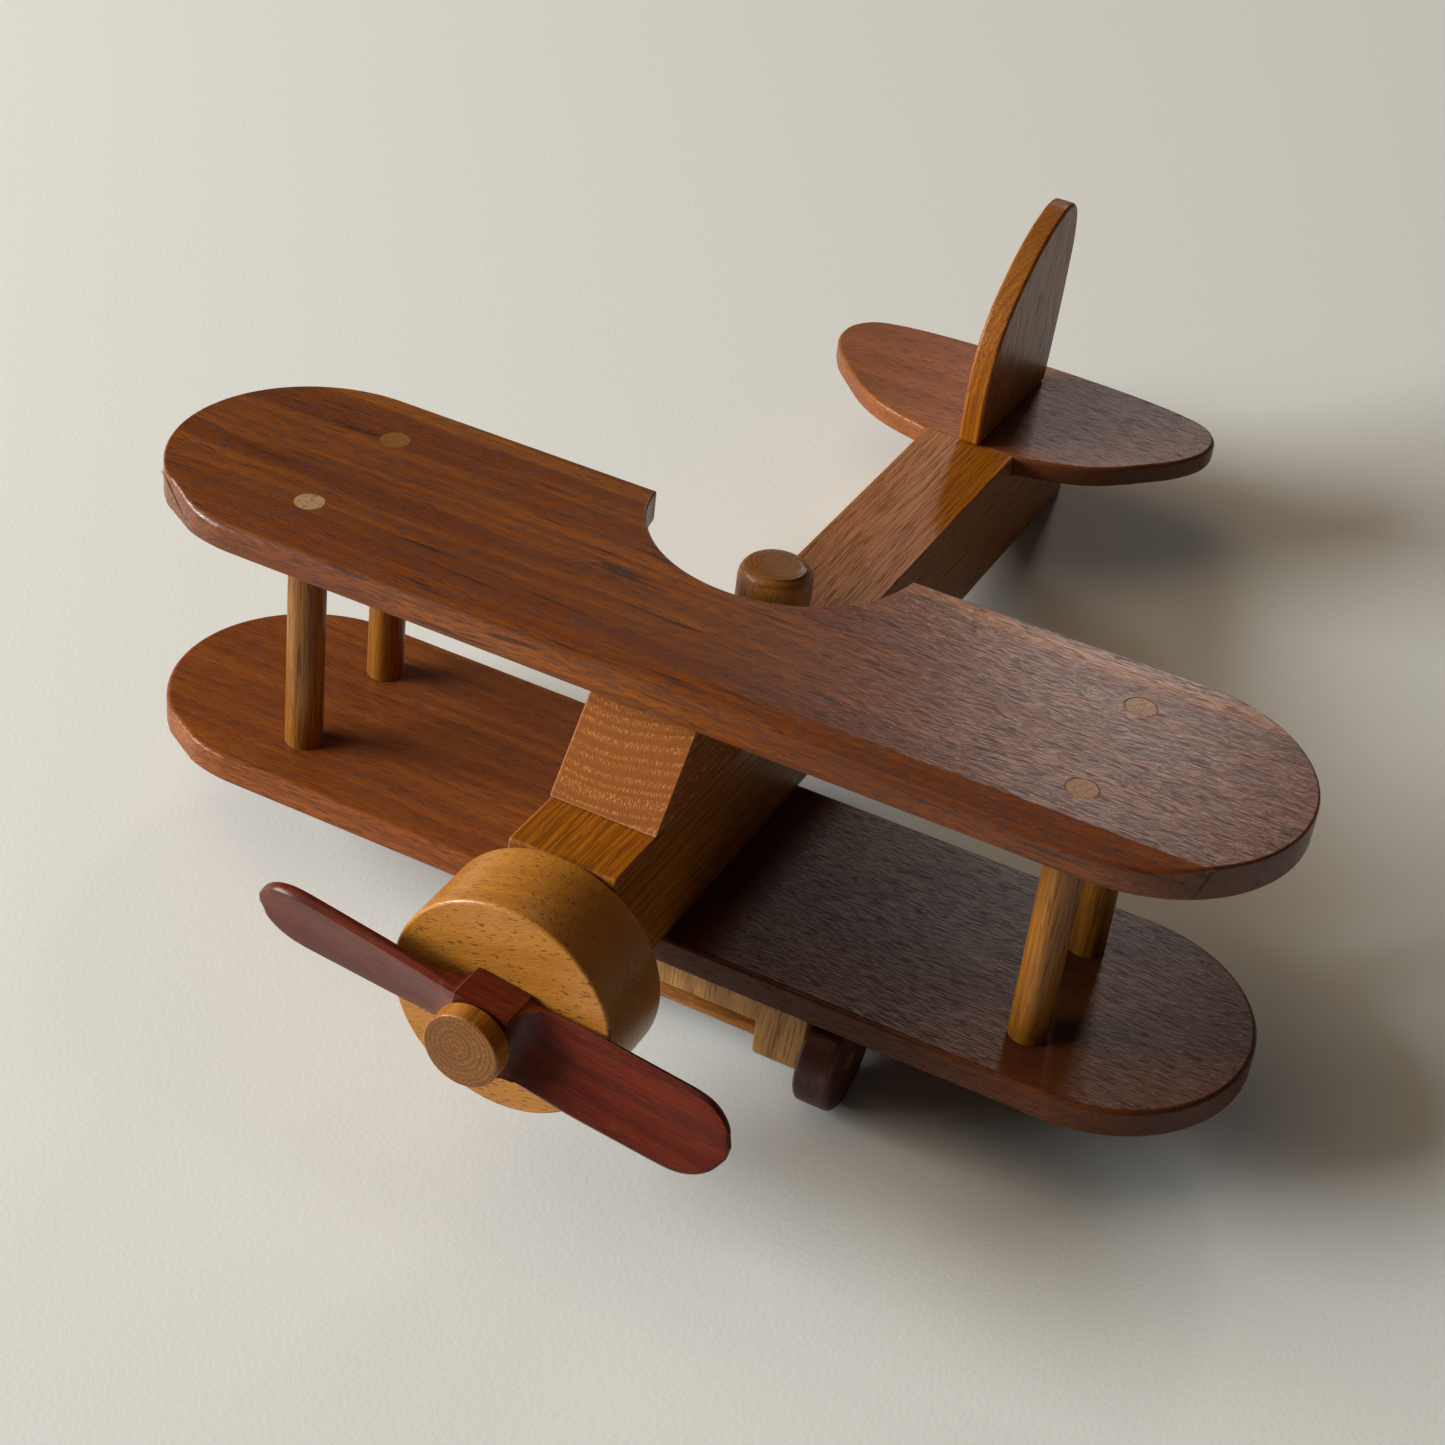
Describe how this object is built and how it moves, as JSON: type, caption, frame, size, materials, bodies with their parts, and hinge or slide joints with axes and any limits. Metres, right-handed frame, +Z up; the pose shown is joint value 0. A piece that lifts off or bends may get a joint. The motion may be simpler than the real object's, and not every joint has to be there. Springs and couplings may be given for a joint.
{
  "type": "toy biplane",
  "caption": "Wooden toy biplane standing nose-up on its wheels and tail: round-ended wings on dowel struts, carved propeller and axle both free to spin",
  "frame": {"origin": "middle of the object's footprint box, on the floor it stands on", "axes": "+Z is up. The nose points to -Y and the tail to +Y. +X is the aeroplane's own left. The airframe is pitched nose-up by 8.141 degrees about X, standing on two wheels and the tail's heel."},
  "size_m": [0.307, 0.3516, 0.1093],
  "materials": {
    "wing_sapele": "satin oiled sapele",
    "tail_sapele": "satin oiled sapele, a little browner",
    "body_oak": "satin oiled honey-coloured oak",
    "block_endgrain": "satin end grain",
    "strut_dowel": "satin oiled dowel",
    "cowl_beech": "satin oiled beech",
    "propeller_rosewood": "polished dark red wood",
    "peg_dowel": "satin oiled dowel",
    "gear_oak": "plain pale oak",
    "wheel_walnut": "satin oiled walnut"
  },
  "bodies": {
    "airframe": {"upper_wing": "wing_sapele", "lower_wing": "wing_sapele", "strut_front_left": "strut_dowel", "strut_front_right": "strut_dowel", "strut_rear_left": "strut_dowel", "strut_rear_right": "strut_dowel", "fuselage": "body_oak", "windscreen_block": "block_endgrain", "engine_cowl": "cowl_beech", "propeller_peg": "peg_dowel", "pilot_peg": "peg_dowel", "stabiliser": "tail_sapele", "fin": "body_oak", "undercarriage": "gear_oak"},
    "propeller": {"propeller": "propeller_rosewood"},
    "wheelset": {"axle": "peg_dowel", "wheel_left": "wheel_walnut", "wheel_right": "wheel_walnut"}
  },
  "joints": [
    {"name": "propeller_spin", "type": "hinge", "parent": "airframe", "child": "propeller", "pos_m": [0, -0.16316, 0.05679], "axis": [0, -0.9899, 0.1416], "continuous": true},
    {"name": "wheelset_spin", "type": "hinge", "parent": "airframe", "child": "wheelset", "pos_m": [0.0085, -0.09712, 0.0135], "axis": [1, 0, 0], "continuous": true}
  ]
}
